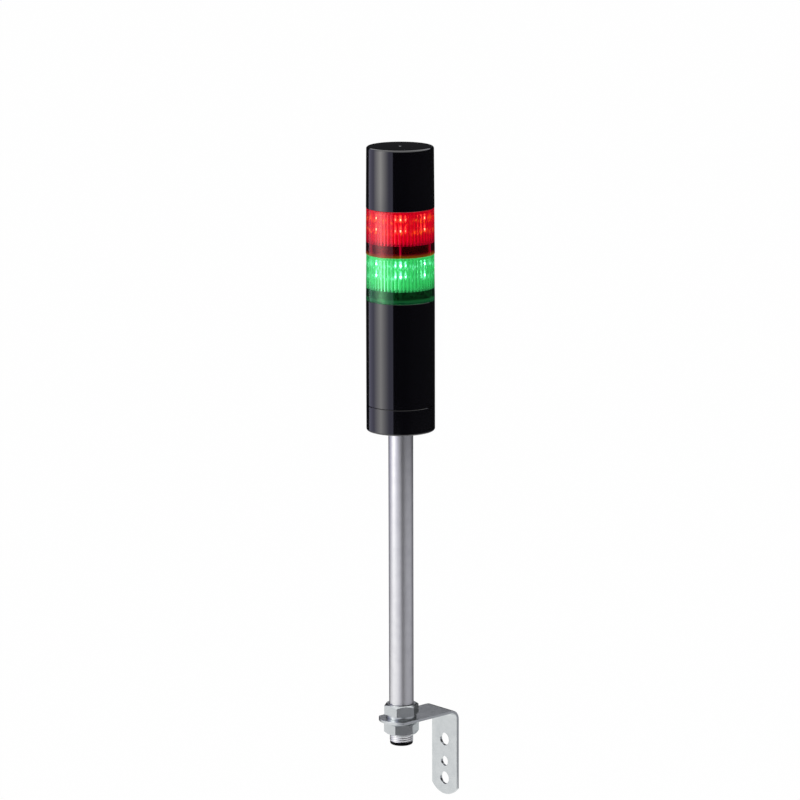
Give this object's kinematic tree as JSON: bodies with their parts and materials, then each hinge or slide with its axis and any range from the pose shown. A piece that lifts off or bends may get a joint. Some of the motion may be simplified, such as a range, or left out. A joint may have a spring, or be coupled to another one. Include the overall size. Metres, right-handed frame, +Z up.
{
  "type": "stack light",
  "caption": "Modular stack light: a sounder over a red and a green LED module on a black body, on an aluminium pole with an L-shaped wall bracket.",
  "frame": {"origin": "centre of the two large holes, on the outer face of the bracket's leg", "axes": "+Y out of the bracket's outer face towards the wall, +Z up along the pole, +X to the right seen from the front"},
  "size_m": [0.0606, 0.0853, 0.5983],
  "materials": {
    "black_gloss": "polished black moulding",
    "black_matte": "satin black moulding",
    "red_clear": "clear red moulding",
    "green_clear": "clear green moulding",
    "white_plastic": "white moulding",
    "white_board": "white lacquered circuit board",
    "red_led": "lit red LED package",
    "green_led": "lit green LED package",
    "satin_aluminium": "drawn and anodised, satin",
    "zinc_steel": "bright zinc plated",
    "screw_steel": "zinc plated",
    "brass": "bright",
    "rubber": "moulded",
    "green_board": "lacquered circuit board",
    "component_black": "moulded",
    "terminal_green": "moulded",
    "trimmer_blue": "moulded",
    "ceramic_grey": "fired, silvered"
  },
  "bodies": {
    "stand": {"bracket": "zinc_steel", "upper_washer": "zinc_steel", "lower_washer": "zinc_steel", "upper_nut": "zinc_steel", "lower_nut": "zinc_steel", "pole": "satin_aluminium", "pole_bush": "black_matte", "body_housing": "black_gloss", "body_neck_plate": "black_matte", "bottom_cap": "black_gloss", "pole_socket": "black_matte", "cap_seal": "rubber", "cap_screws": "screw_steel", "pole_locknut": "brass", "control_board": "green_board", "board_components": "component_black", "terminal_block": "terminal_green", "terminal_screws": "screw_steel", "body_contact_rods": "brass", "body_contact_rings": "brass", "body_seal": "rubber"},
    "green_module": {"green_lens": "green_clear", "green_base": "black_matte", "green_contact_rods": "brass", "green_led_column": "white_plastic", "green_led_boards": "white_board", "green_leds": "green_led", "green_neck_plate": "white_plastic", "green_contact_rings": "brass", "green_seal": "rubber"},
    "red_module": {"red_lens": "red_clear", "red_base": "black_matte", "red_contact_rods": "brass", "red_led_column": "white_plastic", "red_led_boards": "white_board", "red_leds": "red_led", "red_neck_plate": "white_plastic", "red_contact_rings": "brass", "red_seal": "rubber"},
    "sounder_unit": {"sounder_cover": "black_gloss", "sounder_base": "black_matte", "sounder_contact_pins": "brass", "sounder_board": "green_board", "sounder_components": "component_black", "sounder_screws": "screw_steel", "volume_trimmer": "trimmer_blue", "tone_switch": "component_black", "resonator_ring": "black_matte", "piezo_diaphragm": "brass", "piezo_ceramic": "ceramic_grey"},
    "volume_rotor": {"volume_rotor": "white_plastic"},
    "tone_slider": {"tone_slider": "white_plastic"}
  },
  "joints": [
    {"name": "green_twist", "type": "hinge", "parent": "stand", "child": "green_module", "pos_m": [0, -0.055, 0.43], "axis": [0, 0, 1], "range_deg": [0, 30]},
    {"name": "red_twist", "type": "hinge", "parent": "green_module", "child": "red_module", "pos_m": [0, -0.055, 0.4705], "axis": [0, 0, 1], "range_deg": [0, 30]},
    {"name": "sounder_twist", "type": "hinge", "parent": "red_module", "child": "sounder_unit", "pos_m": [0, -0.055, 0.511], "axis": [0, 0, 1], "range_deg": [0, 30]},
    {"name": "volume_turn", "type": "hinge", "parent": "sounder_unit", "child": "volume_rotor", "pos_m": [-0.0141, -0.06013, 0.523], "axis": [0, 0, -1], "range_deg": [0, 270]},
    {"name": "tone_slide", "type": "slide", "parent": "sounder_unit", "child": "tone_slider", "axis": [1, 0, 0], "range_m": [0, 0.002]}
  ]
}
